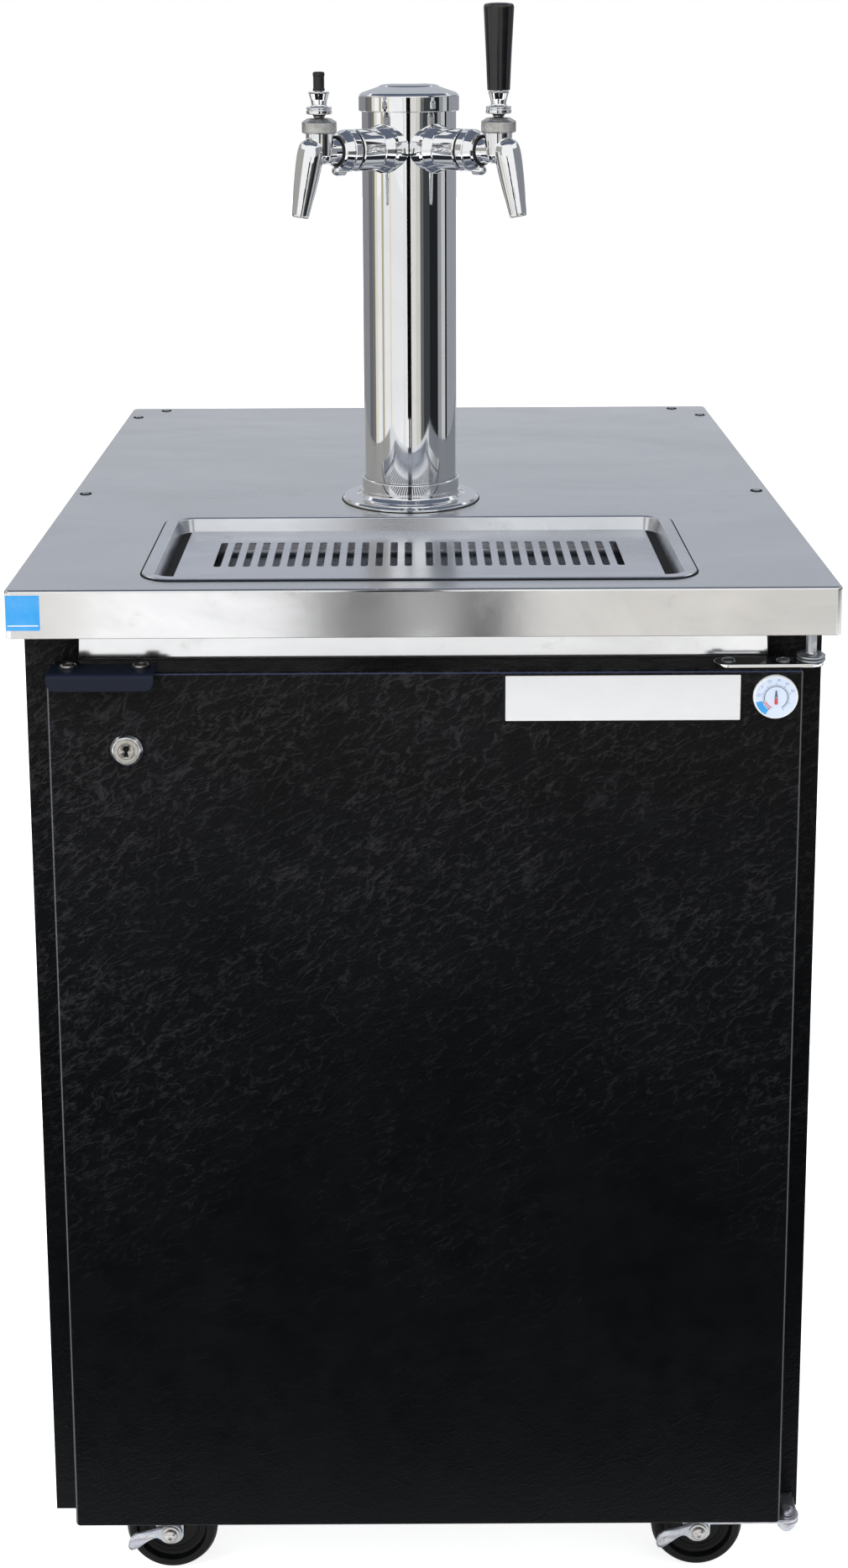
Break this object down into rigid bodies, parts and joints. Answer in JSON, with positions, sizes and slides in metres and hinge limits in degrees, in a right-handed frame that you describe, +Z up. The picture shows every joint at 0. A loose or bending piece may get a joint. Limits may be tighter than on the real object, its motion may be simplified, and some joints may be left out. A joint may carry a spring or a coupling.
{
  "type": "kegerator",
  "caption": "Single-keg beer cooler on casters: insulated cabinet with a hinged door, steel counter with drip tray, and a polished column carrying a pair of taps.",
  "frame": {"origin": "on the floor under the middle of the counter, at the bottom centre of the bounding box", "axes": "+Z up, -Y towards the front where the door and the taps are, +X to the right seen from the front, where the door is hinged"},
  "size_m": [0.6096, 0.724, 1.3161],
  "materials": {
    "black_coated_steel": "black vinyl-coated steel with a fine pebbled grain",
    "black_metal": "satin black enamel",
    "brushed_stainless": "fine brushed stainless",
    "polished_chrome": "mirror polished",
    "knurled_steel": "machined and knurled",
    "zinc_steel": "bright zinc plate",
    "liner_aluminium": "satin sheet",
    "foam": "foamed in place",
    "board": "pressed board",
    "black_plastic": "glossy black",
    "white_plastic": "semi-gloss white",
    "gasket_rubber": "soft matt black",
    "wheel_rubber": "moulded black with a satin disc"
  },
  "bodies": {
    "cabinet": {"outer_casing": "black_coated_steel", "insulation_foam": "foam", "inner_liner": "liner_aluminium", "header_rail": "brushed_stainless", "rear_grille": "black_metal", "compressor": "black_metal", "condenser_coil": "liner_aluminium", "condenser_fan_motor": "zinc_steel", "evaporator_coil": "liner_aluminium", "thermostat_box": "white_plastic", "counter_skin": "brushed_stainless", "counter_core": "board", "drip_pan": "brushed_stainless", "tower_flange": "polished_chrome", "tower_column": "polished_chrome", "tower_cap": "polished_chrome", "left_saddle": "polished_chrome", "left_shank": "polished_chrome", "left_coupling_nut": "polished_chrome", "left_faucet_body": "polished_chrome", "left_bonnet_ring": "knurled_steel", "right_saddle": "polished_chrome", "right_shank": "polished_chrome", "right_coupling_nut": "polished_chrome", "right_faucet_body": "polished_chrome", "right_bonnet_ring": "knurled_steel", "upper_hinge_bracket": "zinc_steel", "lower_hinge_bracket": "zinc_steel", "front_caster_rail": "zinc_steel", "rear_caster_rail": "zinc_steel"},
    "door": {"door_skin": "black_coated_steel", "door_core": "foam", "door_liner": "liner_aluminium", "door_gasket": "gasket_rubber", "door_pull": "black_metal", "lock_barrel": "polished_chrome", "thermometer": "white_plastic", "upper_hinge_leaf": "zinc_steel", "lower_hinge_leaf": "zinc_steel"},
    "grille": {"drip_grille": "brushed_stainless"},
    "lock": {"lock_plug": "polished_chrome"},
    "left_tap_lever": {"left_lever": "polished_chrome", "thread_cap": "black_plastic"},
    "left_tap_plunger": {"left_plunger": "knurled_steel"},
    "right_tap_lever": {"right_lever": "polished_chrome", "tap_handle": "black_plastic"},
    "right_tap_plunger": {"right_plunger": "knurled_steel"},
    "cooling_fan": {"condenser_fan": "black_plastic"},
    "chamber_fan": {"evaporator_fan": "white_plastic"},
    "knob": {"thermostat_knob": "black_plastic"},
    "front_left_swivel": {"front_left_caster_fork": "zinc_steel"},
    "front_left_wheel": {"front_left_caster_wheel": "wheel_rubber"},
    "front_left_brake": {"front_left_caster_brake": "zinc_steel"},
    "front_right_swivel": {"front_right_caster_fork": "zinc_steel"},
    "front_right_wheel": {"front_right_caster_wheel": "wheel_rubber"},
    "front_right_brake": {"front_right_caster_brake": "zinc_steel"},
    "rear_left_swivel": {"rear_left_caster_fork": "zinc_steel"},
    "rear_left_wheel": {"rear_left_caster_wheel": "wheel_rubber"},
    "rear_right_swivel": {"rear_right_caster_fork": "zinc_steel"},
    "rear_right_wheel": {"rear_right_caster_wheel": "wheel_rubber"}
  },
  "joints": [
    {"name": "door_hinge", "type": "hinge", "parent": "cabinet", "child": "door", "pos_m": [0.2885, -0.33, 0.474], "axis": [0, 0, 1], "range_deg": [0, 110]},
    {"name": "lock_turn", "type": "hinge", "parent": "door", "child": "lock", "pos_m": [-0.221, -0.343, 0.768], "axis": [0, 1, 0], "range_deg": [0, 90]},
    {"name": "grille_lift", "type": "slide", "parent": "cabinet", "child": "grille", "axis": [0, 0, 1], "range_m": [0, 0.06]},
    {"name": "left_pour", "type": "hinge", "parent": "cabinet", "child": "left_tap_lever", "pos_m": [-0.08105, -0.13993, 1.22], "axis": [0.6293, -0.7771, 0], "range_deg": [0, 22]},
    {"name": "left_valve", "type": "slide", "parent": "cabinet", "child": "left_tap_plunger", "axis": [0.7771, 0.6293, 0], "range_m": [0, 0.007]},
    {"name": "right_pour", "type": "hinge", "parent": "cabinet", "child": "right_tap_lever", "pos_m": [0.06305, -0.13993, 1.22], "axis": [0.6293, 0.7771, 0], "range_deg": [0, 22]},
    {"name": "right_valve", "type": "slide", "parent": "cabinet", "child": "right_tap_plunger", "axis": [-0.7771, 0.6293, 0], "range_m": [0, 0.007]},
    {"name": "cooling_fan_spin", "type": "hinge", "parent": "cabinet", "child": "cooling_fan", "pos_m": [0.06, 0.264, 0.2185], "axis": [1, 0, 0], "continuous": true},
    {"name": "chamber_fan_spin", "type": "hinge", "parent": "cabinet", "child": "chamber_fan", "pos_m": [-0.04, 0.2325, 0.67], "axis": [0, 1, 0], "continuous": true},
    {"name": "knob_turn", "type": "hinge", "parent": "cabinet", "child": "knob", "pos_m": [0.17, 0.2745, 0.688], "axis": [0, 1, 0], "range_deg": [0, 270]},
    {"name": "front_left_turn", "type": "hinge", "parent": "cabinet", "child": "front_left_swivel", "pos_m": [-0.2234, -0.227, 0.09], "axis": [0, 0, 1], "continuous": true},
    {"name": "front_left_roll", "type": "hinge", "parent": "front_left_swivel", "child": "front_left_wheel", "pos_m": [-0.2164, -0.227, 0.0385], "axis": [0, 1, 0], "continuous": true},
    {"name": "front_left_step", "type": "hinge", "parent": "front_left_swivel", "child": "front_left_brake", "pos_m": [-0.2164, -0.2488, 0.0385], "axis": [0, -1, 0], "range_deg": [0, 20]},
    {"name": "front_right_turn", "type": "hinge", "parent": "cabinet", "child": "front_right_swivel", "pos_m": [0.2234, -0.227, 0.09], "axis": [0, 0, 1], "continuous": true},
    {"name": "front_right_roll", "type": "hinge", "parent": "front_right_swivel", "child": "front_right_wheel", "pos_m": [0.2304, -0.227, 0.0385], "axis": [0, 1, 0], "continuous": true},
    {"name": "front_right_step", "type": "hinge", "parent": "front_right_swivel", "child": "front_right_brake", "pos_m": [0.2304, -0.2488, 0.0385], "axis": [0, -1, 0], "range_deg": [0, 20]},
    {"name": "rear_left_turn", "type": "hinge", "parent": "cabinet", "child": "rear_left_swivel", "pos_m": [-0.2234, 0.28, 0.09], "axis": [0, 0, 1], "continuous": true},
    {"name": "rear_left_roll", "type": "hinge", "parent": "rear_left_swivel", "child": "rear_left_wheel", "pos_m": [-0.2164, 0.28, 0.0385], "axis": [0, 1, 0], "continuous": true},
    {"name": "rear_right_turn", "type": "hinge", "parent": "cabinet", "child": "rear_right_swivel", "pos_m": [0.2234, 0.28, 0.09], "axis": [0, 0, 1], "continuous": true},
    {"name": "rear_right_roll", "type": "hinge", "parent": "rear_right_swivel", "child": "rear_right_wheel", "pos_m": [0.2304, 0.28, 0.0385], "axis": [0, 1, 0], "continuous": true}
  ],
  "couplings": [
    {"joint": "left_valve", "follows": "left_pour", "m_per_rad": 0.0172},
    {"joint": "right_valve", "follows": "right_pour", "m_per_rad": 0.0172}
  ]
}
